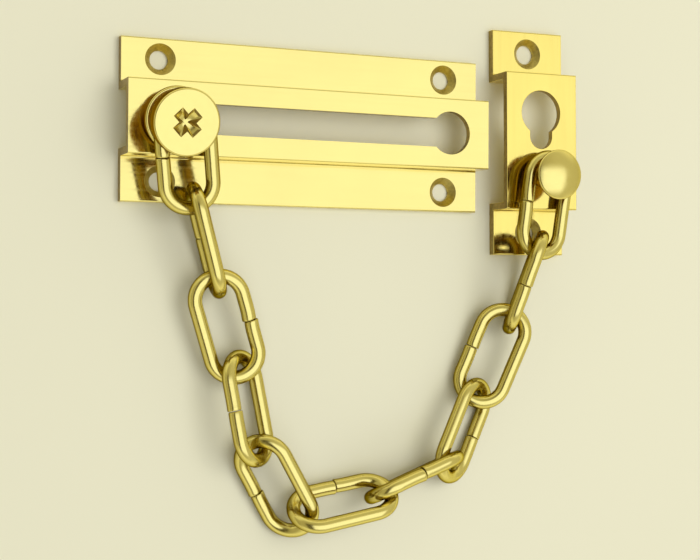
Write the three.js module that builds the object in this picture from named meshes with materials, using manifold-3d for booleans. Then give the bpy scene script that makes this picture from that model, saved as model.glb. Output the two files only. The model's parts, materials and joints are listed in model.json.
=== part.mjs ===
// Door chain guard laid out flat on its back: a slotted track for the door, a slider that leans in
// its slot, a chain of eleven links, and an anchor plate with a stud for the door frame.
// Millimetres, +Z up. The backs of both plates lie on z = 0 and +X runs along the track towards the
// anchor plate. The origin is the middle of the back of the track's upper flange.

import * as THREE from 'three';
import { mergeVertices } from 'three/addons/utils/BufferGeometryUtils.js';
import Module from 'manifold-3d';

// ---- driving dimensions -------------------------------------------------------------------------

// Clear space between two pieces that touch on the real object.
const SEAT_GAP = 0.3;

// Both plates are brass strip bent to a hat section, with holes for countersunk screws.
const WALL = 2.0;
const FLANGE = 2.5;
const EDGE_ROUND = 0.5;

const TRACK_LENGTH = 104;
const TRACK_WIDTH = 43;
const TRACK_RAISED_WIDTH = 19.4;
const TRACK_FACE = 10.2;
const TRACK_HOLE_X = 41.5;
const TRACK_HOLE_Y = 16;
const TRACK_HOLE_R = 2.5;
const TRACK_COUNTERSINK_R = 4.15;
const SLOT_WIDTH = 8;
const SLOT_START_X = -40.5;
const KEYHOLE_X = 40;
const KEYHOLE_R = 6;

const ANCHOR_PLACE = [69.3, 0, 0];
const ANCHOR_TURN = 0.5;
const ANCHOR_WIDTH = 23;
const ANCHOR_LOW_Y = -33.4;
const ANCHOR_HIGH_Y = 31.8;
const ANCHOR_RAISED_LOW_Y = -20.5;
const ANCHOR_RAISED_HIGH_Y = 18.7;
const ANCHOR_FACE = 10.5;
const ANCHOR_HOLE_YS = [25.4, -27];
const ANCHOR_HOLE_R = 2.75;
const ANCHOR_COUNTERSINK_R = 4.35;
const ANCHOR_KEYHOLE_X = -0.25;
const ANCHOR_KEYHOLE_Y = 7.3;
const ANCHOR_KEYHOLE_R = 6.35;
const ANCHOR_NOTCH_Y = 0.5;
const ANCHOR_NOTCH_R = 3.6;

// The stud is one rivet: a peened tail behind the plate, a shank for the link and a domed head.
const STUD_Y = -11.2;
const STUD_SHANK_R = 3;
const STUD_HEAD_R = 7.0;
const STUD_HEAD_LOW = 19.3;
const STUD_HEAD_RIM = 0.9;
const STUD_DOME = 2.0;
const STUD_TAIL_R = 2.4;
const STUD_PEEN_R = 3.8;
const STUD_PEEN = 1.3;

// The slider is a spool that leans with the weight of the chain. Its heights run along its own axis
// from the middle of the track's face wall.
const SLIDER_X = -40.0;
const SLIDER_LEAN = 12;
const FOOT_R = 5.7;
const FOOT_LOW = -4.4;
const FOOT_HIGH = -2.6;
const NECK_R = 3.3;
const COLLAR_R = 8.5;
const COLLAR_LOW = 3.2;
const COLLAR_HIGH = 5.0;
const SPINDLE_R = 2.5;
const HEAD_R = 8.65;
const HEAD_LOW = 9.8;
const HEAD_HIGH = 13.6;
const HEAD_ROUND = 0.6;
const THREAD_R = 1.6;
const RECESS_SPAN = 7.4;
const RECESS_WING = 2.4;
const RECESS_DEPTH = 1.7;

// Every link is the same bent wire with a butt joint in the middle of one leg.
const WIRE_R = 1.9;
const LINK_LENGTH = 31.5;
const LINK_WIDTH = 16.6;
const BEND_R = LINK_WIDTH / 2 - WIRE_R;
const HALF_LEG = LINK_LENGTH / 2 - WIRE_R - BEND_R;
const BUTT_GAP = 0.3;

// How each link lies, from the slider to the stud: its middle from the track's middle, then its
// heading, tilt and roll in degrees, and the side of its length that its butt joint is on.
const CHAIN = [
  { at: [-37.7, -9.95, 14.35], heading: -81, tilt: 13, roll: 2, joint: -1 },
  { at: [-31, -31.5, 9.5], heading: -73, tilt: 7, roll: -79, joint: 1 },
  { at: [-24.5, -54, 7.5], heading: -72, tilt: 4, roll: 12, joint: 1 },
  { at: [-18.5, -75.5, 7.5], heading: -81, tilt: -7, roll: -39, joint: -1 },
  { at: [-10, -96.5, 6.5], heading: -60, tilt: 3, roll: 41, joint: -1 },
  { at: [8, -101.5, 9.5], heading: 10, tilt: -3, roll: -54, joint: 1 },
  { at: [29.5, -95.5, 9.5], heading: 20, tilt: 3, roll: 75, joint: 1 },
  { at: [46.5, -83.5, 6], heading: 64, tilt: 4, roll: 33, joint: -1 },
  { at: [55.5, -62.5, 6.5], heading: 67, tilt: -5, roll: -24, joint: 1 },
  { at: [64, -41.5, 10.5], heading: 76, tilt: -16, roll: 63, joint: 1 },
  { at: [68.5, -19.5, 13.5], heading: 82, tilt: -1, roll: 7, joint: 1 },
];

// ---- materials ----------------------------------------------------------------------------------

const POLISHED_BRASS = { color: 0xf2dc7c, roughness: 0.16, metalness: 1 };
const TURNED_BRASS = { color: 0xe9d070, roughness: 0.14, metalness: 1 };
const WIRE_BRASS = { color: 0xdcc15c, roughness: 0.18, metalness: 1 };

// ---- solids -------------------------------------------------------------------------------------

const wasm = await Module();
wasm.setup();

const ROUND_STEPS = 36;
const HOLE_STEPS = 28;
const CORNER_STEPS = 3;

function toSolid(geometry) {
  const plain = geometry.clone();
  plain.deleteAttribute('normal');
  plain.deleteAttribute('uv');
  const merged = mergeVertices(plain, 1e-4);
  const vertProperties = new Float32Array(merged.attributes.position.array);
  const triVerts = new Uint32Array(merged.index.array);
  return new wasm.Manifold(new wasm.Mesh({ numProp: 3, vertProperties, triVerts }));
}

function toGeometry(solid) {
  const { vertProperties, triVerts } = solid.getMesh();
  const geometry = new THREE.BufferGeometry();
  geometry.setAttribute('position', new THREE.BufferAttribute(vertProperties, 3));
  geometry.setIndex(new THREE.BufferAttribute(triVerts, 1));
  geometry.computeVertexNormals();
  return geometry;
}

function cutAway(body, cutters) {
  const rest = cutters.reduce((left, cutter) => left.subtract(toSolid(cutter)), toSolid(body));
  return toGeometry(rest);
}

function part(name, geometry, finish) {
  const mesh = new THREE.Mesh(geometry, new THREE.MeshStandardMaterial(finish));
  mesh.name = name;
  return mesh;
}

// A closed outline with each corner given as [u, v, radius].
function softOutline(corners) {
  const outline = new THREE.Shape();
  corners.forEach(([u, v, radius], index) => {
    const corner = new THREE.Vector2(u, v);
    const before = new THREE.Vector2(...corners.at(index - 1));
    const after = new THREE.Vector2(...corners[(index + 1) % corners.length]);
    const start = corner.clone().add(before.sub(corner).setLength(radius));
    const end = corner.clone().add(after.sub(corner).setLength(radius));
    if (index === 0) {
      outline.moveTo(start.x, start.y);
    } else {
      outline.lineTo(start.x, start.y);
    }
    if (radius > 0) {
      outline.quadraticCurveTo(corner.x, corner.y, end.x, end.y);
    }
  });
  outline.closePath();
  return outline;
}

// A hat-section strip, open at both ends: flat flanges and a raised middle across Y, and its length
// along X with the middle of that length at x = 0.
function hatStrip({ length, low, high, raisedLow, raisedHigh, face }) {
  const outline = softOutline([
    [low, 0, 0],
    [raisedLow + WALL, 0, 0],
    [raisedLow + WALL, face - WALL, EDGE_ROUND],
    [raisedHigh - WALL, face - WALL, EDGE_ROUND],
    [raisedHigh - WALL, 0, 0],
    [high, 0, 0],
    [high, FLANGE, EDGE_ROUND],
    [raisedHigh, FLANGE, EDGE_ROUND],
    [raisedHigh, face, EDGE_ROUND],
    [raisedLow, face, EDGE_ROUND],
    [raisedLow, FLANGE, EDGE_ROUND],
    [low, FLANGE, EDGE_ROUND],
  ]);
  const strip = new THREE.ExtrudeGeometry(outline, {
    depth: length,
    bevelEnabled: false,
    curveSegments: CORNER_STEPS,
  });
  const across = new THREE.Vector3(0, 1, 0);
  const up = new THREE.Vector3(0, 0, 1);
  const along = new THREE.Vector3(1, 0, 0);
  strip.applyMatrix4(new THREE.Matrix4().makeBasis(across, up, along));
  return strip.translate(-length / 2, 0, 0);
}

// A body turned about Z, from [radius, height] pairs that start and end on the axis.
function turned(profile, steps = ROUND_STEPS) {
  const points = profile.map(([radius, height]) => new THREE.Vector2(radius, height));
  return new THREE.LatheGeometry(points, steps).rotateX(Math.PI / 2);
}

// A quarter arc of profile points from the side of a rounded rim to its top.
function rimArc(centreR, centreHeight, acrossR, upR, steps) {
  const points = [];
  for (let step = 0; step <= steps; step += 1) {
    const angle = (step / steps) * (Math.PI / 2);
    points.push([centreR + acrossR * Math.cos(angle), centreHeight + upR * Math.sin(angle)]);
  }
  return points;
}

// Profile points of a spherical cap, from its rim to its top.
function domeArc(rimR, rimHeight, rise, steps) {
  const sphereR = (rimR ** 2 + rise ** 2) / (2 * rise);
  const spread = Math.asin(rimR / sphereR);
  const points = [];
  for (let step = 0; step <= steps; step += 1) {
    const angle = spread * (1 - step / steps);
    const drop = sphereR * (1 - Math.cos(angle));
    points.push([sphereR * Math.sin(angle), rimHeight + rise - drop]);
  }
  return points;
}

function screwHoleCutter(x, y, holeR, countersinkR) {
  const margin = 1;
  const depth = countersinkR - holeR;
  return turned([
    [0, -margin],
    [holeR, -margin],
    [holeR, FLANGE - depth],
    [countersinkR, FLANGE],
    [countersinkR, FLANGE + margin],
    [0, FLANGE + margin],
  ], HOLE_STEPS).translate(x, y, 0);
}

function roundCutter(x, y, radius, low, high) {
  const cutter = turned([[0, low], [radius, low], [radius, high], [0, high]]);
  return cutter.translate(x, y, 0);
}

// A straight slot with round ends between two points on a line along X or Y.
function slotCutter([startX, startY], [endX, endY], width, low, high) {
  const length = Math.hypot(endX - startX, endY - startY);
  const heading = Math.atan2(endY - startY, endX - startX);
  const outline = new THREE.Shape();
  outline.absarc(0, 0, width / 2, Math.PI / 2, (Math.PI * 3) / 2, false);
  outline.absarc(length, 0, width / 2, -Math.PI / 2, Math.PI / 2, false);
  const slot = new THREE.ExtrudeGeometry(outline, {
    depth: high - low,
    bevelEnabled: false,
    curveSegments: HOLE_STEPS / 2,
  });
  return slot.rotateZ(heading).translate(startX, startY, low);
}

// ---- the track ----------------------------------------------------------------------------------

function trackPlate() {
  const strip = hatStrip({
    length: TRACK_LENGTH,
    low: -TRACK_WIDTH / 2,
    high: TRACK_WIDTH / 2,
    raisedLow: -TRACK_RAISED_WIDTH / 2,
    raisedHigh: TRACK_RAISED_WIDTH / 2,
    face: TRACK_FACE,
  });
  const below = TRACK_FACE - 2 * WALL;
  const above = TRACK_FACE + WALL;
  const cutters = [
    slotCutter([SLOT_START_X, 0], [KEYHOLE_X, 0], SLOT_WIDTH, below, above),
    roundCutter(KEYHOLE_X, 0, KEYHOLE_R, below, above),
  ];
  for (const x of [-TRACK_HOLE_X, TRACK_HOLE_X]) {
    for (const y of [-TRACK_HOLE_Y, TRACK_HOLE_Y]) {
      cutters.push(screwHoleCutter(x, y, TRACK_HOLE_R, TRACK_COUNTERSINK_R));
    }
  }
  return part('track_plate', cutAway(strip, cutters), POLISHED_BRASS);
}

// ---- the slider ---------------------------------------------------------------------------------

// A disc that runs inside the track, with the tapped neck that stands in the slot.
function sliderFoot() {
  const boreR = THREAD_R + SEAT_GAP;
  const foot = turned([
    [0, FOOT_LOW],
    [FOOT_R, FOOT_LOW],
    [FOOT_R, FOOT_HIGH],
    [NECK_R, FOOT_HIGH],
    [NECK_R, COLLAR_LOW - SEAT_GAP],
    [0, COLLAR_LOW - SEAT_GAP],
  ]);
  const bore = roundCutter(0, 0, boreR, FOOT_LOW - 1, COLLAR_LOW + 1);
  return part('slider_foot', cutAway(foot, [bore]), TURNED_BRASS);
}

function sliderCollar() {
  const edge = 0.5;
  const holeR = THREAD_R + SEAT_GAP;
  const disc = turned([
    [0, COLLAR_LOW],
    [COLLAR_R - edge, COLLAR_LOW],
    ...rimArc(COLLAR_R - edge, COLLAR_HIGH - edge, edge, edge, 2),
    [0, COLLAR_HIGH],
  ]);
  const hole = roundCutter(0, 0, holeR, COLLAR_LOW - 1, COLLAR_HIGH + 1);
  return part('slider_collar', cutAway(disc, [hole]), TURNED_BRASS);
}

// The shouldered screw: a wide head with a cross recess, the spindle that carries the first link,
// and the threaded end in the foot.
function sliderScrew() {
  const body = turned([
    [0, FOOT_LOW + SEAT_GAP],
    [THREAD_R, FOOT_LOW + SEAT_GAP],
    [THREAD_R, COLLAR_HIGH + SEAT_GAP],
    [SPINDLE_R, COLLAR_HIGH + SEAT_GAP],
    [SPINDLE_R, HEAD_LOW],
    [HEAD_R - SEAT_GAP, HEAD_LOW],
    [HEAD_R, HEAD_LOW + SEAT_GAP],
    ...rimArc(HEAD_R - HEAD_ROUND, HEAD_HIGH - HEAD_ROUND, HEAD_ROUND, HEAD_ROUND, 3),
    [0, HEAD_HIGH],
  ]);
  const cutters = [45, 135].map((heading) => {
    const wing = new THREE.BoxGeometry(RECESS_SPAN, RECESS_WING, 2 * RECESS_DEPTH);
    return wing.rotateZ(THREE.MathUtils.degToRad(heading)).translate(0, 0, HEAD_HIGH);
  });
  return part('slider_screw', cutAway(body, cutters), TURNED_BRASS);
}

function slider() {
  const spool = new THREE.Group();
  spool.position.set(SLIDER_X, 0, TRACK_FACE - WALL / 2);
  spool.rotation.x = THREE.MathUtils.degToRad(SLIDER_LEAN);
  spool.add(sliderFoot(), sliderCollar(), sliderScrew());
  return spool;
}

// ---- the chain ----------------------------------------------------------------------------------

const BEND_STEPS = 12;
const WIRE_SIDES = 8;

// The middle line of one link's wire, from one face of its butt joint round to the other. The
// parameter runs evenly over the steps: one for each straight, BEND_STEPS for each bend.
class LinkWire extends THREE.Curve {
  constructor(side) {
    super();
    this.side = side;
    this.steps = 2 * BEND_STEPS + 3;
  }

  getPoint(t, target = new THREE.Vector3()) {
    const legY = this.side * BEND_R;
    const step = t * this.steps;
    const firstBend = 1 + BEND_STEPS;
    const secondBend = firstBend + 1 + BEND_STEPS;
    const start = BUTT_GAP / 2;
    if (step <= 1) {
      return target.set(THREE.MathUtils.lerp(start, HALF_LEG, step), legY, 0);
    }
    if (step <= firstBend) {
      const angle = ((step - 1) / BEND_STEPS) * Math.PI;
      return target.set(HALF_LEG + BEND_R * Math.sin(angle), legY * Math.cos(angle), 0);
    }
    if (step <= firstBend + 1) {
      return target.set(THREE.MathUtils.lerp(HALF_LEG, -HALF_LEG, step - firstBend), -legY, 0);
    }
    if (step <= secondBend) {
      const angle = ((step - firstBend - 1) / BEND_STEPS) * Math.PI;
      return target.set(-HALF_LEG - BEND_R * Math.sin(angle), -legY * Math.cos(angle), 0);
    }
    return target.set(THREE.MathUtils.lerp(-HALF_LEG, -start, step - secondBend), legY, 0);
  }

  getUtoTmapping(u) {
    return u;
  }
}

function chainLink(number, { at, heading, tilt, roll, joint }) {
  const section = new THREE.Shape();
  for (let side = 0; side < WIRE_SIDES; side += 1) {
    const angle = ((side + 0.5) / WIRE_SIDES) * 2 * Math.PI;
    const point = [WIRE_R * Math.cos(angle), WIRE_R * Math.sin(angle)];
    if (side === 0) {
      section.moveTo(...point);
    } else {
      section.lineTo(...point);
    }
  }
  section.closePath();
  const path = new LinkWire(joint);
  const wire = new THREE.ExtrudeGeometry(section, { steps: path.steps, extrudePath: path });
  const name = `chain_link_${String(number).padStart(2, '0')}`;
  const link = part(name, wire, WIRE_BRASS);
  const turns = [roll, tilt, heading].map(THREE.MathUtils.degToRad);
  link.rotation.set(...turns, 'ZYX');
  link.position.set(...at);
  return link;
}

// ---- the anchor ---------------------------------------------------------------------------------

function anchorPlate() {
  const strip = hatStrip({
    length: ANCHOR_WIDTH,
    low: ANCHOR_LOW_Y,
    high: ANCHOR_HIGH_Y,
    raisedLow: ANCHOR_RAISED_LOW_Y,
    raisedHigh: ANCHOR_RAISED_HIGH_Y,
    face: ANCHOR_FACE,
  });
  const below = ANCHOR_FACE - 2 * WALL;
  const above = ANCHOR_FACE + WALL;
  const notch = [ANCHOR_KEYHOLE_X, ANCHOR_NOTCH_Y];
  const keyhole = [ANCHOR_KEYHOLE_X, ANCHOR_KEYHOLE_Y];
  const cutters = [
    slotCutter(notch, keyhole, 2 * ANCHOR_NOTCH_R, below, above),
    roundCutter(...keyhole, ANCHOR_KEYHOLE_R, below, above),
    roundCutter(0, STUD_Y, STUD_TAIL_R + SEAT_GAP, below, above),
    ...ANCHOR_HOLE_YS.map((y) => screwHoleCutter(0, y, ANCHOR_HOLE_R, ANCHOR_COUNTERSINK_R)),
  ];
  return part('anchor_plate', cutAway(strip, cutters), POLISHED_BRASS);
}

function anchorStud() {
  const back = ANCHOR_FACE - WALL - SEAT_GAP;
  const front = ANCHOR_FACE + SEAT_GAP;
  const rimTop = STUD_HEAD_LOW + STUD_HEAD_RIM;
  const body = turned([
    [0, back - STUD_PEEN],
    [STUD_PEEN_R - STUD_PEEN / 2, back - STUD_PEEN],
    [STUD_PEEN_R, back - STUD_PEEN / 2],
    [STUD_PEEN_R, back],
    [STUD_TAIL_R, back],
    [STUD_TAIL_R, front],
    [STUD_SHANK_R, front],
    [STUD_SHANK_R, STUD_HEAD_LOW],
    [STUD_HEAD_R - SEAT_GAP, STUD_HEAD_LOW],
    ...domeArc(STUD_HEAD_R, rimTop, STUD_DOME, 7),
  ]);
  return part('anchor_stud', body.translate(0, STUD_Y, 0), TURNED_BRASS);
}

function anchor() {
  const group = new THREE.Group();
  group.position.set(...ANCHOR_PLACE);
  group.rotation.z = THREE.MathUtils.degToRad(ANCHOR_TURN);
  group.add(anchorPlate(), anchorStud());
  return group;
}

// ---- the whole guard ----------------------------------------------------------------------------

const layout = new THREE.Group();
layout.position.y = -TRACK_HOLE_Y;
layout.add(trackPlate(), slider());
CHAIN.forEach((lay, index) => layout.add(chainLink(index + 1, lay)));
layout.add(anchor());

const guard = new THREE.Group();
guard.add(layout);
guard.updateMatrixWorld(true);

export default guard;
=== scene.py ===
"""A polished brass door chain guard, lying on its back on a pale floor.

Lengths below are millimetres, but for the lamp's and the camera's. A mesh is made in millimetres and
scaled to metres as it becomes an object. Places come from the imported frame: boxes of its nodes, its
joints and its links' solids.
"""

import json
import math

import bmesh
import bpy
import numpy as np
from mathutils import Euler, Matrix, Vector


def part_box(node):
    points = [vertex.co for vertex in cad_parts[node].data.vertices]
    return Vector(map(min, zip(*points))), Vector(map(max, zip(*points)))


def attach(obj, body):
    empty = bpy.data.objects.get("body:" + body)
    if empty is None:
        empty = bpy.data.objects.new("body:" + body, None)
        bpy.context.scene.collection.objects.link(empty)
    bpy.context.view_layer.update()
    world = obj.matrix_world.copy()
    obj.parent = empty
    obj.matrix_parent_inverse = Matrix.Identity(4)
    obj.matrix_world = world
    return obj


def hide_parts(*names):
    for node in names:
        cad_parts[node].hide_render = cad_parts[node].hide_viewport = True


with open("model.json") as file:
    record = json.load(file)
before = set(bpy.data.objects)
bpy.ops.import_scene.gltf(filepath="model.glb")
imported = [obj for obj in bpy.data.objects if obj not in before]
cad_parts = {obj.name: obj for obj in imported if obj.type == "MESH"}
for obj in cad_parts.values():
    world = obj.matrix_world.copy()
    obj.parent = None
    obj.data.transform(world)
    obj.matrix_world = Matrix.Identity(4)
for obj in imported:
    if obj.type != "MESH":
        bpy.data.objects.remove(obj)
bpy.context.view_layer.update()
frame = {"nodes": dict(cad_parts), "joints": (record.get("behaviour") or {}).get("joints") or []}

MM = 0.001

# ---- sizes shared with the CAD model --------------------------------------------------------------

WALL = 2.0
FLANGE = 2.5
SEAT_GAP = 0.3

TRACK_RAISED_WIDTH = 19.4
TRACK_HOLE_X = 41.5
TRACK_HOLE_Y = 16.0
TRACK_HOLE_R = 2.5
TRACK_COUNTERSINK_R = 4.15
SLOT_WIDTH = 8.0
SLOT_START_X = -40.5
KEYHOLE_X = 40.0
KEYHOLE_R = 6.0

ANCHOR_TURN = 0.5
ANCHOR_WIDTH = 23.0
ANCHOR_LOW_Y = -33.4
ANCHOR_HIGH_Y = 31.8
ANCHOR_RAISED_LOW_Y = -20.5
ANCHOR_RAISED_HIGH_Y = 18.7
ANCHOR_HOLE_YS = (25.4, -27.0)
ANCHOR_HOLE_R = 2.75
ANCHOR_COUNTERSINK_R = 4.35
ANCHOR_KEYHOLE_X = -0.25
ANCHOR_KEYHOLE_Y = 7.3
ANCHOR_KEYHOLE_R = 6.35
ANCHOR_NOTCH_Y = 0.5
ANCHOR_NOTCH_R = 3.6

STUD_Y = -11.2
STUD_SHANK_R = 3.0
STUD_HEAD_R = 7.0
STUD_HEAD_LOW = 19.3
STUD_HEAD_RIM = 0.9
STUD_DOME = 2.0
STUD_TAIL_R = 2.4
STUD_PEEN_R = 3.8
STUD_PEEN = 1.3

SLIDER_LEAN = 12.0
FOOT_R = 5.7
FOOT_LOW = -4.4
FOOT_HIGH = -2.6
NECK_R = 3.3
COLLAR_R = 8.5
COLLAR_LOW = 3.2
COLLAR_HIGH = 5.0
SPINDLE_R = 2.5
HEAD_R = 8.65
HEAD_LOW = 9.8
HEAD_HIGH = 13.6
HEAD_ROUND = 0.6
THREAD_R = 1.6

LINK_COUNT = 11
WIRE_R = 1.9
LINK_LENGTH = 31.5
LINK_WIDTH = 16.6
BEND_R = LINK_WIDTH / 2 - WIRE_R
HALF_LEG = LINK_LENGTH / 2 - WIRE_R - BEND_R


# ---- meshes ---------------------------------------------------------------------------------------

MERGE_DISTANCE = 1e-4
ON_AXIS = 1e-6
SQUARE_ON = 0.9999


def rounded(corners, closed=True, steps=5):
    """Points of an outline whose corners are (u, v, radius), each rounded by an arc of its radius."""
    points = []
    count = len(corners)
    for index, (u, v, radius) in enumerate(corners):
        corner = Vector((u, v))
        inner = closed or 0 < index < count - 1
        if radius <= 0 or not inner:
            points.append(corner)
            continue
        before = Vector(corners[index - 1][:2]) - corner
        after = Vector(corners[(index + 1) % count][:2]) - corner
        before.normalize()
        after.normalize()
        half = before.angle(after) / 2
        setback = radius / math.tan(half)
        centre = corner + (before + after).normalized() * (radius / math.sin(half))
        start = (corner + before * setback - centre).normalized()
        end = (corner + after * setback - centre).normalized()
        for step in range(steps + 1):
            points.append(centre + start.slerp(end, step / steps) * radius)
    return points


def add_rings(bm, rings):
    """Adds quads between neighbouring closed rings of vertices."""
    for first, second in zip(rings, rings[1:]):
        count = len(first)
        for index in range(count):
            after = (index + 1) % count
            bm.faces.new((first[index], first[after], second[after], second[index]))


def finish_mesh(name, bm, place=Matrix.Identity(4)):
    """Makes an object of bm, whose millimetre shape stands at place, also in millimetres."""
    bmesh.ops.remove_doubles(bm, verts=bm.verts, dist=MERGE_DISTANCE)
    bmesh.ops.recalc_face_normals(bm, faces=bm.faces)
    for face in bm.faces:
        face.smooth = True
    mesh = bpy.data.meshes.new(name)
    bm.transform(Matrix.Scale(MM, 4) @ place)
    bm.to_mesh(mesh)
    bm.free()
    piece = bpy.data.objects.new(name, mesh)
    bpy.context.scene.collection.objects.link(piece)
    return piece


def turned(name, corners, place, segments=112):
    """A body turned about its Z axis from a profile of (radius, height, rounding) corners."""
    bm = bmesh.new()
    profile = rounded(corners, closed=False)
    rings = []
    for radius, height in profile:
        if radius < ON_AXIS:
            rings.append([bm.verts.new((0, 0, height))])
            continue
        ring = []
        for index in range(segments):
            angle = 2 * math.pi * index / segments
            ring.append(bm.verts.new((radius * math.cos(angle), radius * math.sin(angle), height)))
        rings.append(ring)
    for first, second in zip(rings, rings[1:]):
        for index in range(segments):
            after = (index + 1) % segments
            quad = [first[index % len(first)], first[after % len(first)],
                    second[after % len(second)], second[index % len(second)]]
            bm.faces.new(list(dict.fromkeys(quad)))
    return finish_mesh(name, bm, place)


def extruded(name, outline, low, high, place):
    """A prism of a closed outline, from height low to high."""
    bm = bmesh.new()
    bottom = [bm.verts.new((u, v, low)) for u, v in outline]
    top = [bm.verts.new((u, v, high)) for u, v in outline]
    add_rings(bm, [bottom, top])
    bm.faces.new(bottom)
    bm.faces.new(top)
    return finish_mesh(name, bm, place)


def arc(centre, radius, start, end, steps):
    """Points on an arc, angles in degrees."""
    points = []
    for step in range(steps + 1):
        angle = math.radians(start + (end - start) * step / steps)
        points.append((centre[0] + radius * math.cos(angle), centre[1] + radius * math.sin(angle)))
    return points


def circle(centre, radius, count):
    """The points of a full circle."""
    return arc(centre, radius, 0, 360 - 360 / count, count - 1)


def apply_modifiers(piece):
    """Replaces the piece's mesh by what its modifiers make of it."""
    bpy.context.view_layer.update()
    graph = bpy.context.evaluated_depsgraph_get()
    mesh = bpy.data.meshes.new_from_object(piece.evaluated_get(graph))
    piece.modifiers.clear()
    piece.data = mesh


def cut_away(piece, cutters):
    """Cuts the cutters' shapes out of the piece and deletes them."""
    for cutter in cutters:
        boolean = piece.modifiers.new("cut", "BOOLEAN")
        boolean.operation = "DIFFERENCE"
        boolean.solver = "EXACT"
        boolean.object = cutter
    apply_modifiers(piece)
    for cutter in cutters:
        bpy.data.objects.remove(cutter)


def soften(piece, width, angle=40, segments=3):
    """Rounds the piece's edges that are sharper than the angle."""
    bevel = piece.modifiers.new("edge_round", "BEVEL")
    bevel.width = width * MM
    bevel.segments = segments
    bevel.limit_method = "ANGLE"
    bevel.angle_limit = math.radians(angle)
    apply_modifiers(piece)


def flatten(piece, place):
    """Shades the faces that lie square to the axes of place flat, and all others smooth."""
    to_local = place.to_3x3().inverted()
    for polygon in piece.data.polygons:
        facing = to_local @ polygon.normal
        polygon.use_smooth = max(abs(value) for value in facing) < SQUARE_ON


def stands_for(piece, node, body, materials):
    """The piece replaces a CAD node, takes these materials and rides on the node's body."""
    piece.data.materials.clear()
    for material in materials:
        piece.data.materials.append(material)
    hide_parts(node)
    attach(piece, body)


# ---- places from the frame ------------------------------------------------------------------------

def joint_named(name):
    return next(joint for joint in frame["joints"] if joint["name"] == name)


def spool_place():
    """The slider's own frame: its middle in the track's face wall, Z along its leaning axis."""
    middle = Vector(joint_named("link_01_swing")["pos_m"]) / MM
    return Matrix.Translation(middle) @ Matrix.Rotation(math.radians(SLIDER_LEAN), 4, "X")


def track_place():
    """The track's own frame: its middle, on the floor."""
    low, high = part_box("track_plate")
    middle = (low + high) / 2 / MM
    return Matrix.Translation((middle.x, middle.y, low.z / MM))


def anchor_place():
    """The anchor's own frame: on the floor under the point that its outline is drawn from."""
    stud = Vector(joint_named("anchor_swing")["pos_m"]) / MM
    turn = Matrix.Rotation(math.radians(ANCHOR_TURN), 4, "Z")
    return Matrix.Translation((stud.x, stud.y, 0)) @ turn @ Matrix.Translation((0, -STUD_Y, 0))


def middle_along(points, axis):
    """Where the middle of the points' extent lies along an axis."""
    reach = points @ axis
    return (reach.min() + reach.max()) / 2


def link_place(number):
    """A link's own frame, from its CAD solid: X to the anchor, Y to its butt joint, Z its normal."""
    solid = frame["nodes"][f"chain_link_{number:02d}"]
    points = np.array([vertex.co for vertex in solid.data.vertices]) / MM
    mean = points.mean(axis=0)

    # The points spread most along the link, and least along its normal.
    _, axes = np.linalg.eigh(np.cov((points - mean).T))
    along, across = axes[:, 2], axes[:, 1]
    first = joint_named(f"link_{number:02d}_swing")
    last = joint_named(f"link_{number + 1:02d}_swing" if number < LINK_COUNT else "anchor_swing")
    if np.subtract(last["pos_m"], first["pos_m"]) @ along < 0:
        along = -along

    # The leg with the butt joint has more points, so their mean lies on its side of the middle.
    if mean @ across < middle_along(points, across):
        across = -across
    axes = (along, across, np.cross(along, across))
    centre = sum(axis * middle_along(points, axis) for axis in axes)
    return Matrix.Translation(Vector(centre)) @ Matrix(axes).transposed().to_4x4()


# ---- materials ------------------------------------------------------------------------------------

BRASS = (0.93, 0.79, 0.24, 1)
GOLDEN_BRASS = (0.93, 0.75, 0.175, 1)
WIRE_BRASS = (0.90, 0.775, 0.235, 1)
FLOOR = (0.88, 0.86, 0.63, 1)
# Painted shade: darker colours for the flanks of the turned parts and the wires. They stand in for
# the shade on their sides and undersides.
TURNED_PAINTED_SHADE = (0.34, 0.21, 0.03, 1)
WIRE_PAINTED_SHADE = (0.33, 0.25, 0.045, 1)
# Darker brass for cut faces: the sawn wire ends, partly painted shade on the strip ends and the walls
# of the openings, and only painted shade on the walls of the cross recess.
CUT_BRASS_AND_SHADE = (0.36, 0.26, 0.07, 1)
BRONZE = (0.62, 0.50, 0.14, 1)
GRAZING_TINT = (0.42, 0.34, 0.14, 1)
LINE_STRETCH = 0.03


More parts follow.
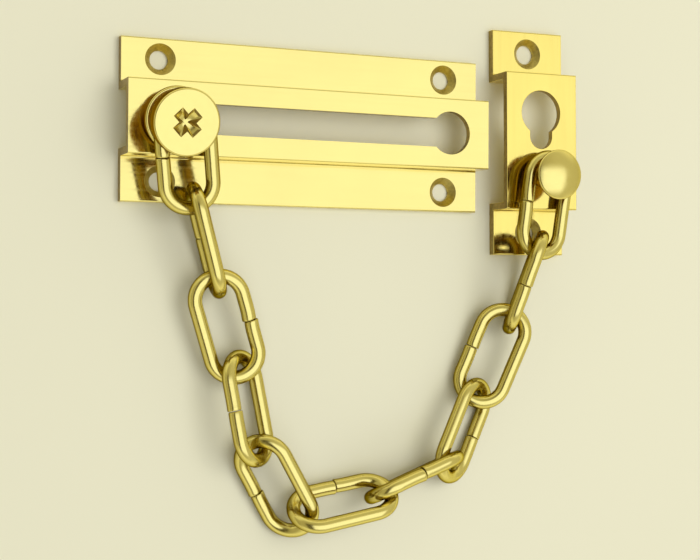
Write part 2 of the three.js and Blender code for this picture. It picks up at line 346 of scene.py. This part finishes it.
class Surface:
    """Builds one Principled material's nodes, in object coordinates."""

    def __init__(self, name, color, roughness, metallic=1.0):
        self.material = bpy.data.materials.new(name)
        self.material.use_nodes = True
        self.nodes = self.material.node_tree.nodes
        self.links = self.material.node_tree.links
        self.shader = self.nodes["Principled BSDF"]
        self.shader.inputs["Base Color"].default_value = color
        self.shader.inputs["Roughness"].default_value = roughness
        self.shader.inputs["Metallic"].default_value = metallic
        self.coordinates = self.nodes.new("ShaderNodeTexCoord").outputs["Object"]
        self.normal = None

    def pattern(self, scale, stretch=(1, 1, 1), detail=3):
        """Noise over object coordinates, in features per metre, stretched along an axis."""
        mapping = self.nodes.new("ShaderNodeMapping")
        mapping.inputs["Scale"].default_value = stretch
        self.links.new(self.coordinates, mapping.inputs["Vector"])
        texture = self.nodes.new("ShaderNodeTexNoise")
        texture.inputs["Scale"].default_value = scale
        texture.inputs["Detail"].default_value = detail
        self.links.new(mapping.outputs["Vector"], texture.inputs["Vector"])
        return texture.outputs["Fac"]

    def spread(self, value, low, high, start=0.3, end=0.7):
        """Maps a pattern from start..end to low..high."""
        ranged = self.nodes.new("ShaderNodeMapRange")
        ranged.inputs["From Min"].default_value = start
        ranged.inputs["From Max"].default_value = end
        ranged.inputs["To Min"].default_value = low
        ranged.inputs["To Max"].default_value = high
        self.links.new(value, ranged.inputs["Value"])
        return ranged.outputs["Result"]

    def paint_shade_on_flanks(self, painted_shade, top, low=0.15, high=0.7):
        """Paints shade on the flanks: colours the surface with the first colour where its normal's Z
        is under low, and top where over high, so that sides and undersides look shaded.
        """
        normal = self.nodes.new("ShaderNodeTexCoord").outputs["Normal"]
        split = self.nodes.new("ShaderNodeSeparateXYZ")
        self.links.new(normal, split.inputs["Vector"])
        self.tint(self.spread(split.outputs["Z"], 0, 1, low, high), painted_shade, top)

    def tint(self, value, first, second):
        """Colours the surface between two colours as a pattern goes from 0 to 1."""
        mix = self.nodes.new("ShaderNodeMix")
        mix.data_type = "RGBA"
        mix.inputs["A"].default_value = first
        mix.inputs["B"].default_value = second
        self.links.new(value, mix.inputs["Factor"])
        self.links.new(mix.outputs["Result"], self.shader.inputs["Base Color"])

    def darken_rims(self):
        """Dulls what the metal mirrors where it is seen edge on."""
        self.shader.inputs["Specular Tint"].default_value = GRAZING_TINT

    def gloss(self, value):
        self.links.new(value, self.shader.inputs["Roughness"])

    def bump(self, value, strength, distance):
        bump = self.nodes.new("ShaderNodeBump")
        bump.inputs["Strength"].default_value = strength
        bump.inputs["Distance"].default_value = distance
        self.links.new(value, bump.inputs["Height"])
        if self.normal is not None:
            self.links.new(self.normal, bump.inputs["Normal"])
        self.normal = bump.outputs["Normal"]
        self.links.new(self.normal, self.shader.inputs["Normal"])


def shade(color, factor):
    return tuple(channel * factor for channel in color[:3]) + (1,)


def plate_brass(name, along, color):
    """Bright rolled brass, with faint polishing lines along X or Y."""
    stretch = (LINE_STRETCH, 1, 1) if along == "X" else (1, LINE_STRETCH, 1)
    surface = Surface(name, color, 0.1)
    tarnish = surface.pattern(45, detail=4)
    surface.tint(surface.spread(tarnish, 0, 1), shade(color, 0.95), color)
    lines = surface.pattern(1500, stretch, detail=2)
    surface.gloss(surface.spread(lines, 0.07, 0.17))
    waves = surface.pattern(60, detail=1)
    surface.bump(waves, 0.05, 0.0008)
    surface.bump(lines, 0.05, 0.00005)
    return surface.material


def turned_brass():
    """Lathe-turned and buffed brass, with painted shade: its sides and undersides are coloured dark
    brown.
    """
    surface = Surface("turned_brass", BRASS, 0.1)
    surface.paint_shade_on_flanks(TURNED_PAINTED_SHADE, BRASS, 0.25, 0.6)
    surface.darken_rims()
    haze = surface.pattern(700, detail=4)
    surface.gloss(surface.spread(haze, 0.16, 0.26))
    surface.bump(surface.pattern(260, detail=2), 0.05, 0.0002)
    return surface.material


def wire_brass():
    """Drawn brass wire, a little dented and duller than the plates, with painted shade: its sides and
    undersides are coloured darker.
    """
    surface = Surface("wire_brass", WIRE_BRASS, 0.1)
    surface.paint_shade_on_flanks(WIRE_PAINTED_SHADE, WIRE_BRASS)
    surface.darken_rims()
    haze = surface.pattern(900, detail=4)
    surface.gloss(surface.spread(haze, 0.12, 0.24))
    surface.bump(surface.pattern(180, detail=2), 0.08, 0.0003)
    return surface.material


def raw_bronze():
    """The unpolished metal inside the countersinks."""
    surface = Surface("raw_bronze", BRONZE, 0.3)
    grain = surface.pattern(1400, detail=5)
    surface.tint(surface.spread(grain, 0, 1), shade(BRONZE, 0.8), shade(BRONZE, 1.15))
    surface.gloss(surface.spread(grain, 0.3, 0.45))
    surface.bump(grain, 0.15, 0.0001)
    return surface.material


def cut_brass_and_shade():
    """Sawn and stamped faces that polishing doesn't reach, and painted shade: the wire ends are only
    sawn; on the strip ends and the walls of the openings the dark colour is partly painted shade, and
    on the walls of the cross recess it is only painted shade.
    """
    surface = Surface("cut_brass_and_shade", CUT_BRASS_AND_SHADE, 0.35)
    grain = surface.pattern(900, detail=4)
    surface.tint(surface.spread(grain, 0, 1), shade(CUT_BRASS_AND_SHADE, 0.75), shade(CUT_BRASS_AND_SHADE, 1.25))
    surface.bump(grain, 0.15, 0.0001)
    return surface.material


# ---- plates ---------------------------------------------------------------------------------------

BEND_ROUND = 0.35
BACK_ROUND = 0.2
INNER_ROUND = 0.3
CUT_EDGE_ROUND = 0.22
CUTTER_OVERRUN = 1.0
HOLE_MARGIN = 0.02
HOLE_SIDES = 72
KEYHOLE_SIDES = 120
RIVET_HOLE_SIDES = 45
END_FACING = 0.99
WALL_FACING = 0.3


def hat_strip(name, length, low, high, raised_low, raised_high, face, place):
    """A hat-section strip: its profile across Y, its length along X about x = 0."""
    corners = [
        (low, 0, BACK_ROUND),
        (raised_low + WALL, 0, BACK_ROUND),
        (raised_low + WALL, face - WALL, BEND_ROUND),
        (raised_high - WALL, face - WALL, BEND_ROUND),
        (raised_high - WALL, 0, BACK_ROUND),
        (high, 0, BACK_ROUND),
        (high, FLANGE, BEND_ROUND),
        (raised_high, FLANGE, INNER_ROUND),
        (raised_high, face, BEND_ROUND),
        (raised_low, face, BEND_ROUND),
        (raised_low, FLANGE, INNER_ROUND),
        (low, FLANGE, BEND_ROUND),
    ]
    bm = bmesh.new()
    outline = rounded(corners)
    ends = []
    for x in (-length / 2, length / 2):
        ends.append([bm.verts.new((x, y, z)) for y, z in outline])
    add_rings(bm, ends)
    for end in ends:
        bm.faces.new(end)
    return finish_mesh(name, bm, place)


def countersink(x, y, hole_r, sink_r, place):
    """The cutter of one countersunk screw hole."""
    depth = sink_r - hole_r
    profile = [
        (0, -CUTTER_OVERRUN, 0),
        (hole_r, -CUTTER_OVERRUN, 0),
        (hole_r, FLANGE - depth, 0),
        (sink_r, FLANGE, 0),
        (sink_r + CUTTER_OVERRUN, FLANGE + CUTTER_OVERRUN, 0),
        (0, FLANGE + CUTTER_OVERRUN, 0),
    ]
    return turned("countersink", profile, place @ Matrix.Translation((x, y, 0)), HOLE_SIDES)


def slot_outline(start, end, radius, steps=32):
    """A straight slot with round ends between two points."""
    run = Vector(end) - Vector(start)
    heading = math.degrees(math.atan2(run.y, run.x))
    return (arc(start, radius, heading + 90, heading + 270, steps)
            + arc(end, radius, heading - 90, heading + 90, steps))


def darken_holes(piece, place, holes, sink_r):
    """Gives the walls of the screw holes the second material."""
    to_local = place.inverted()
    for polygon in piece.data.polygons:
        corners = [to_local @ (piece.data.vertices[index].co / MM) for index in polygon.vertices]
        for x, y in holes:
            reach = max(math.hypot(corner.x - x, corner.y - y) for corner in corners)
            if reach < sink_r + HOLE_MARGIN:
                polygon.material_index = 1


def darken_cuts_and_paint_shade(piece, place, face, raised_low, raised_high):
    """Gives the cut edges the third, darker material: the strip's ends and the walls of its openings.
    Their dark colour is partly sawn metal and partly painted shade.
    """
    to_local = place.inverted()
    turn = to_local.to_3x3()
    for polygon in piece.data.polygons:
        middle = to_local @ (polygon.center / MM)
        facing = turn @ polygon.normal
        in_face = raised_low + WALL < middle.y < raised_high - WALL and middle.z > face - WALL
        if abs(facing.x) > END_FACING or (abs(facing.z) < WALL_FACING and in_face):
            polygon.material_index = 2


def make_track(plate, bronze, cut):
    place = track_place()
    low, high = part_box("track_plate")
    size = (high - low) / MM
    strip = hat_strip("track_strip", size.x, -size.y / 2, size.y / 2,
                      -TRACK_RAISED_WIDTH / 2, TRACK_RAISED_WIDTH / 2, size.z, place)
    below, above = size.z - 2 * WALL, size.z + WALL
    holes = [(x, y) for x in (-TRACK_HOLE_X, TRACK_HOLE_X) for y in (-TRACK_HOLE_Y, TRACK_HOLE_Y)]
    slot = slot_outline((SLOT_START_X, 0), (KEYHOLE_X, 0), SLOT_WIDTH / 2)
    cutters = [
        extruded("slot", slot, below, above, place),
        extruded("keyhole", circle((KEYHOLE_X, 0), KEYHOLE_R, KEYHOLE_SIDES), below, above, place),
    ]
    cutters += [countersink(x, y, TRACK_HOLE_R, TRACK_COUNTERSINK_R, place) for x, y in holes]
    cut_away(strip, cutters)
    soften(strip, CUT_EDGE_ROUND)
    flatten(strip, place)
    stands_for(strip, "track_plate", "track", [plate, bronze, cut])
    darken_holes(strip, place, holes, TRACK_COUNTERSINK_R)
    darken_cuts_and_paint_shade(strip, place, size.z, -TRACK_RAISED_WIDTH / 2, TRACK_RAISED_WIDTH / 2)


def make_anchor_plate(plate, bronze, cut):
    place = anchor_place()
    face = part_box("anchor_plate")[1].z / MM
    strip = hat_strip("anchor_strip", ANCHOR_WIDTH, ANCHOR_LOW_Y, ANCHOR_HIGH_Y,
                      ANCHOR_RAISED_LOW_Y, ANCHOR_RAISED_HIGH_Y, face, place)
    below, above = face - 2 * WALL, face + WALL
    holes = [(0, y) for y in ANCHOR_HOLE_YS]
    keyhole = (ANCHOR_KEYHOLE_X, ANCHOR_KEYHOLE_Y)
    notch = slot_outline((ANCHOR_KEYHOLE_X, ANCHOR_NOTCH_Y), keyhole, ANCHOR_NOTCH_R)
    rivet_hole = circle((0, STUD_Y), STUD_TAIL_R + SEAT_GAP, RIVET_HOLE_SIDES)
    cutters = [
        extruded("notch", notch, below, above, place),
        extruded("keyhole", circle(keyhole, ANCHOR_KEYHOLE_R, KEYHOLE_SIDES), below, above, place),
        extruded("rivet_hole", rivet_hole, below, above, place),
    ]
    cutters += [countersink(x, y, ANCHOR_HOLE_R, ANCHOR_COUNTERSINK_R, place) for x, y in holes]
    cut_away(strip, cutters)
    soften(strip, CUT_EDGE_ROUND)
    flatten(strip, place)
    stands_for(strip, "anchor_plate", "anchor", [plate, bronze, cut])
    darken_holes(strip, place, holes, ANCHOR_COUNTERSINK_R)
    darken_cuts_and_paint_shade(strip, place, face, ANCHOR_RAISED_LOW_Y, ANCHOR_RAISED_HIGH_Y)


# ---- stud and slider ------------------------------------------------------------------------------

STUD_HEAD_EDGE = 0.3
STUD_DOME_INSET = 0.15
PEEN_TAPER = 0.5
PEEN_DROP = 0.9
HEAD_CROWN = 0.25
HEAD_CROWN_INSET = 0.05
TURNED_EDGE_ROUND = 0.12


def dome(rim_r, rim_height, rise, steps=18):
    """Profile corners of a spherical cap, from its rim to its top."""
    sphere_r = (rim_r ** 2 + rise ** 2) / (2 * rise)
    spread = math.asin(rim_r / sphere_r)
    corners = []
    for step in range(steps + 1):
        angle = spread * (1 - step / steps)
        drop = sphere_r * (1 - math.cos(angle))
        corners.append((sphere_r * math.sin(angle), rim_height + rise - drop, 0))
    return corners


def make_stud(brass):
    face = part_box("anchor_plate")[1].z / MM
    back = face - WALL - SEAT_GAP
    front = face + SEAT_GAP
    rim = STUD_HEAD_LOW + STUD_HEAD_RIM
    profile = [
        (0, back - STUD_PEEN, 0),
        (STUD_PEEN_R - PEEN_TAPER, back - STUD_PEEN * PEEN_DROP, 0.6),
        (STUD_PEEN_R, back, 0.2),
        (STUD_TAIL_R, back, 0.1),
        (STUD_TAIL_R, front, 0.1),
        (STUD_SHANK_R, front, 0.2),
        (STUD_SHANK_R, STUD_HEAD_LOW, 0.3),
        (STUD_HEAD_R, STUD_HEAD_LOW, 0.35),
        (STUD_HEAD_R, rim - STUD_HEAD_EDGE, STUD_HEAD_EDGE),
        *dome(STUD_HEAD_R - STUD_DOME_INSET, rim, STUD_DOME),
    ]
    place = anchor_place() @ Matrix.Translation((0, STUD_Y, 0))
    stud = turned("anchor_stud_turned", profile, place)
    stands_for(stud, "anchor_stud", "anchor", [brass])


def make_foot(brass):
    top = COLLAR_LOW - SEAT_GAP
    bore = THREAD_R + SEAT_GAP
    profile = [
        (bore, FOOT_LOW, 0),
        (FOOT_R, FOOT_LOW, 0.3),
        (FOOT_R, FOOT_HIGH, 0.3),
        (NECK_R, FOOT_HIGH, 0.25),
        (NECK_R, top, 0.2),
        (bore, top, 0),
        (bore, FOOT_LOW, 0),
    ]
    foot = turned("slider_foot_turned", profile, spool_place())
    soften(foot, TURNED_EDGE_ROUND)
    stands_for(foot, "slider_foot", "slider", [brass])


def make_collar(brass):
    hole = THREAD_R + SEAT_GAP
    profile = [
        (hole, COLLAR_LOW, 0),
        (COLLAR_R, COLLAR_LOW, 0.4),
        (COLLAR_R, COLLAR_HIGH, 0.6),
        (hole, COLLAR_HIGH, 0),
        (hole, COLLAR_LOW, 0),
    ]
    collar = turned("slider_collar_turned", profile, spool_place())
    soften(collar, TURNED_EDGE_ROUND)
    stands_for(collar, "slider_collar", "slider", [brass])


# The cross recess: each wing pair's (height over the head's top, reach, half width), going down.
RECESS_TIERS = ((0.6, 3.9, 1.7), (0.0, 3.75, 1.6), (-0.9, 3.2, 0.85), (-2.3, 0.7, 0.4))
RECESS_HEADINGS = (45, 135)

# Where its walls take the painted shade: within a reach, between two depths, and steeper than a
# limit.
RECESS_REACH = 4.0
RECESS_MOUTH = 0.1
RECESS_DEPTH = 3.0
RECESS_FACING = 0.6


def recess_wing(heading, place):
    """The cutter of one wing pair: a boat shape that narrows as it goes down."""
    bm = bmesh.new()
    for height, reach, half_width in RECESS_TIERS:
        for x in (-reach, reach):
            for y in (-half_width, half_width):
                bm.verts.new((x, y, HEAD_HIGH + height))
    bmesh.ops.convex_hull(bm, input=bm.verts)
    return finish_mesh("recess", bm, place @ Matrix.Rotation(math.radians(heading), 4, "Z"))


def paint_shade_in_recess(screw, place):
    """Paints shade on the steep walls of the cross recess by giving them the second, darker material;
    the recess is polished brass and only its shade is dark.
    """
    to_local = place.inverted()
    turn = to_local.to_3x3()
    for polygon in screw.data.polygons:
        middle = to_local @ (polygon.center / MM)
        within = math.hypot(middle.x, middle.y) < RECESS_REACH
        steep = abs((turn @ polygon.normal).z) < RECESS_FACING
        if within and steep and RECESS_MOUTH < HEAD_HIGH - middle.z < RECESS_DEPTH:
            polygon.material_index = 1


def make_screw(brass, cut):
    place = spool_place()
    profile = [
        (0, FOOT_LOW + SEAT_GAP, 0),
        (THREAD_R, FOOT_LOW + SEAT_GAP, 0.3),
        (THREAD_R, COLLAR_HIGH + SEAT_GAP, 0.05),
        (SPINDLE_R, COLLAR_HIGH + SEAT_GAP, 0.15),
        (SPINDLE_R, HEAD_LOW, 0.25),
        (HEAD_R, HEAD_LOW, 0.35),
        (HEAD_R, HEAD_HIGH - HEAD_CROWN, HEAD_ROUND),
        *dome(HEAD_R - HEAD_ROUND - HEAD_CROWN_INSET, HEAD_HIGH - HEAD_CROWN, HEAD_CROWN, 10),
    ]
    screw = turned("slider_screw_turned", profile, place)
    cut_away(screw, [recess_wing(heading, place) for heading in RECESS_HEADINGS])
    soften(screw, TURNED_EDGE_ROUND, angle=30, segments=2)
    stands_for(screw, "slider_screw", "slider", [brass, cut])
    # Painted shade in the cross recess: its steep walls get the darker cut material.
    paint_shade_in_recess(screw, place)


# ---- chain ----------------------------------------------------------------------------------------

WIRE_SIDES = 28
BEND_STEPS = 30
LEG_SHARES = (0.25, 0.5, 0.75)

# The gap between a link's two wire ends, and how far from it the ends bend out of line.
BUTT_GAP = 0.14
BUTT_REACH = 3.6

# Each wire end is rounded off: (distance from the butt face, share of the wire's radius).
BUTT_STATIONS = (
    (0.0, 0.88), (0.07, 0.945), (0.18, 0.98), (0.4, 0.997),
    (0.9, 1.0), (1.6, 1.0), (2.4, 1.0), (BUTT_REACH, 1.0),
)


def link_stations():
    """The wire's rings round one link, from butt face to butt face.

    Each is (middle, outward direction, share of the wire's radius, distance from the butt face).
    """
    stations = []
    for distance, factor in BUTT_STATIONS:
        x = BUTT_GAP / 2 + distance
        stations.append((Vector((x, BEND_R, 0)), Vector((0, 1, 0)), factor, distance))
    for step in range(BEND_STEPS + 1):
        angle = math.pi * step / BEND_STEPS
        out = Vector((math.sin(angle), math.cos(angle), 0))
        stations.append((Vector((HALF_LEG, 0, 0)) + out * BEND_R, out, 1.0, math.inf))
    for share in LEG_SHARES:
        x = HALF_LEG * (1 - 2 * share)
        stations.append((Vector((x, -BEND_R, 0)), Vector((0, -1, 0)), 1.0, math.inf))
    for step in range(BEND_STEPS + 1):
        angle = math.pi * (1 + step / BEND_STEPS)
        out = Vector((math.sin(angle), math.cos(angle), 0))
        stations.append((Vector((-HALF_LEG, 0, 0)) + out * BEND_R, out, 1.0, math.inf))
    for distance, factor in reversed(BUTT_STATIONS):
        x = -BUTT_GAP / 2 - distance
        stations.append((Vector((x, BEND_R, 0)), Vector((0, 1, 0)), factor, distance))
    return stations


# How far the second end of each link's wire misses the first: outward and along its normal.
BUTT_STEPS = (
    (0.1, 0.0), (0.15, 0.0), (0.5, 0.1), (-0.35, 0.0), (-0.35, 0.15), (0.45, 0.0),
    (0.1, -0.4), (0.25, 0.0), (-0.3, 0.0), (0.2, 0.2), (-0.35, 0.1),
)


def make_link(number, wire, cut):
    """One bent wire, whose two ends miss each other a little where they should meet."""
    node = f"chain_link_{number:02d}"
    step_out, step_up = BUTT_STEPS[number - 1]
    bm = bmesh.new()
    rings = []
    for centre, out, factor, distance in link_stations():
        ease = max(0.0, 1 - distance / BUTT_REACH) ** 2
        share = ease / 2 if centre.x > 0 else -ease / 2
        shift = out * (step_out * share) + Vector((0, 0, step_up * share))
        ring = []
        for side in range(WIRE_SIDES):
            angle = 2 * math.pi * side / WIRE_SIDES
            spoke = out * math.cos(angle) + Vector((0, 0, math.sin(angle)))
            ring.append(bm.verts.new(centre + shift + spoke * WIRE_R * factor))
        rings.append(ring)
    add_rings(bm, rings)
    caps = [bm.faces.new(rings[0]), bm.faces.new(rings[-1])]
    for cap in caps:
        cap.material_index = 1
    link = finish_mesh(f"{node}_wire", bm, link_place(number))
    for polygon in link.data.polygons:
        if polygon.material_index == 1:
            polygon.use_smooth = False
    stands_for(link, node, f"link_{number:02d}", [wire, cut])


# ---- stage ----------------------------------------------------------------------------------------

FLOOR_HALF = 1500
FLOOR_DROP = 0.02


def make_floor():
    surface = Surface("floor_paper", FLOOR, 0.9, metallic=0.0)
    surface.shader.inputs["Specular IOR Level"].default_value = 0.1
    mottle = surface.pattern(6, detail=2)
    surface.tint(surface.spread(mottle, 0, 1), shade(FLOOR, 0.985), FLOOR)
    bm = bmesh.new()
    bmesh.ops.create_grid(bm, x_segments=4, y_segments=4, size=FLOOR_HALF)
    floor = finish_mesh("floor", bm)
    floor.location.z = -FLOOR_DROP * MM
    floor.data.materials.append(surface.material)


# The studio: walls that are brighter on the right and low down at both far ends, and a ceiling with
# a dark skirt and a soft box.
RIGHT_WALL = (0.56, 0.53, 0.42, 1)
LEFT_WALL = (0.42, 0.39, 0.27, 1)
FAR_WALLS = (0.85, 0.82, 0.66, 1)
BOX_SKIRT = (0.08, 0.065, 0.025, 1)
SOFT_BOX = (1.17, 1.20, 1.42, 1)

# Fades, as (full, none).
RIGHT_FADE = (-0.5, 0.35)
FAR_FADE = (0.7, 0.3)
LOW_FADE = (0.2, 0.5)

# Ceiling bands, as (middle, full, none), and the height where they end.
SKIRT_X = (-0.84, 0.22, 0.42)
SKIRT_Y = (-0.2, 0.7, 1.1)
BOX_X = (0.12, 0.52, 0.82)
BOX_Y = (-0.27, 0.42, 0.85)
LOWEST_BAND = 0.05


class Sky:
    """Builds the world's nodes, from the direction in which a ray leaves."""

    def __init__(self):
        world = bpy.data.worlds.new("studio")
        bpy.context.scene.world = world
        world.use_nodes = True
        self.nodes = world.node_tree.nodes
        self.links = world.node_tree.links
        self.background = self.nodes["Background"].inputs["Color"]
        direction = self.nodes.new("ShaderNodeTexCoord").outputs["Generated"]
        split = self.nodes.new("ShaderNodeSeparateXYZ")
        self.links.new(direction, split.inputs["Vector"])
        self.x, self.y, self.z = split.outputs

    def math(self, operation, first, second):
        node = self.nodes.new("ShaderNodeMath")
        node.operation = operation
        for socket, value in zip(node.inputs, (first, second)):
            if isinstance(value, (int, float)):
                socket.default_value = value
            else:
                self.links.new(value, socket)
        return node.outputs["Value"]

    def fade(self, value, full, none):
        """1 where value is full and beyond, 0 where it is none and beyond."""
        ranged = self.nodes.new("ShaderNodeMapRange")
        ranged.interpolation_type = "SMOOTHSTEP"
        ranged.inputs["From Min"].default_value = none
        ranged.inputs["From Max"].default_value = full
        self.links.new(value, ranged.inputs["Value"])
        return ranged.outputs["Result"]

    def band(self, axis, middle, full, none):
        """A band across the ceiling, in tangents of the angle from straight up."""
        height = self.math("MAXIMUM", self.z, LOWEST_BAND)
        offset = self.math("SUBTRACT", self.math("DIVIDE", axis, height), middle)
        return self.fade(self.math("ABSOLUTE", offset, 0), full, none)

    def mixed(self, mask, first, second):
        mix = self.nodes.new("ShaderNodeMix")
        mix.data_type = "RGBA"
        mix.inputs["B"].default_value = second
        self.links.new(mask, mix.inputs["Factor"])
        if isinstance(first, tuple):
            mix.inputs["A"].default_value = first
        else:
            self.links.new(first, mix.inputs["A"])
        return mix.outputs["Result"]


def make_sky():
    sky = Sky()
    walls = sky.mixed(sky.fade(sky.x, *RIGHT_FADE), RIGHT_WALL, LEFT_WALL)
    far_out = sky.fade(sky.math("ABSOLUTE", sky.y, 0), *FAR_FADE)
    far = sky.math("MULTIPLY", far_out, sky.fade(sky.z, *LOW_FADE))
    walls = sky.mixed(far, walls, FAR_WALLS)
    skirt = sky.math("MULTIPLY", sky.band(sky.x, *SKIRT_X), sky.band(sky.y, *SKIRT_Y))
    walls = sky.mixed(skirt, walls, BOX_SKIRT)
    box = sky.math("MULTIPLY", sky.band(sky.x, *BOX_X), sky.band(sky.y, *BOX_Y))
    sky.links.new(sky.mixed(box, walls, SOFT_BOX), sky.background)


# The key lamp, in metres and watts.
KEY_PLACE = Vector((0.20, 0.0, 0.66))
KEY_AIM = Vector((0.01, -0.04, 0))
KEY_SIZE = 0.45
KEY_POWER = 1.32
KEY_COLOR = (1.0, 0.98, 0.93)


def make_key_lamp():
    """A soft lamp that casts shadows but isn't mirrored as a disc in the brass."""
    data = bpy.data.lights.new("key", "AREA")
    data.shape = "DISK"
    data.size = KEY_SIZE
    data.energy = KEY_POWER
    data.color = KEY_COLOR
    lamp = bpy.data.objects.new("key", data)
    lamp.location = KEY_PLACE
    lamp.rotation_euler = (KEY_AIM - KEY_PLACE).to_track_quat("-Z", "Y").to_euler()
    lamp.visible_glossy = False
    bpy.context.scene.collection.objects.link(lamp)


# The camera, in metres, degrees and, for its lens and sensor, millimetres.
CAMERA_PLACE = (-0.14313, -0.06275, 0.36211)
CAMERA_TURN = (0.69, -23.45, 0.29)
CAMERA_LENS = 72.97
CAMERA_SENSOR = 36


def make_camera():
    data = bpy.data.cameras.new("camera")
    data.sensor_width = CAMERA_SENSOR
    data.lens = CAMERA_LENS
    camera = bpy.data.objects.new("camera", data)
    camera.location = CAMERA_PLACE
    camera.rotation_euler = Euler([math.radians(angle) for angle in CAMERA_TURN])
    bpy.context.scene.collection.objects.link(camera)
    bpy.context.scene.camera = camera


# ---- the scene ------------------------------------------------------------------------------------

make_camera()
make_floor()
make_sky()
make_key_lamp()
bpy.context.scene.view_settings.view_transform = "Standard"

bronze_surface = raw_bronze()
# The darker cut brass, which is partly painted shade.
cut_and_shade_surface = cut_brass_and_shade()
turned_surface = turned_brass()
wire_surface = wire_brass()
make_track(plate_brass("track_brass", "X", BRASS), bronze_surface, cut_and_shade_surface)
make_anchor_plate(plate_brass("anchor_brass", "Y", GOLDEN_BRASS), bronze_surface, cut_and_shade_surface)
make_stud(turned_surface)
make_foot(turned_surface)
make_collar(turned_surface)
make_screw(turned_surface, cut_and_shade_surface)
for link_number in range(1, LINK_COUNT + 1):
    make_link(link_number, wire_surface, cut_and_shade_surface)
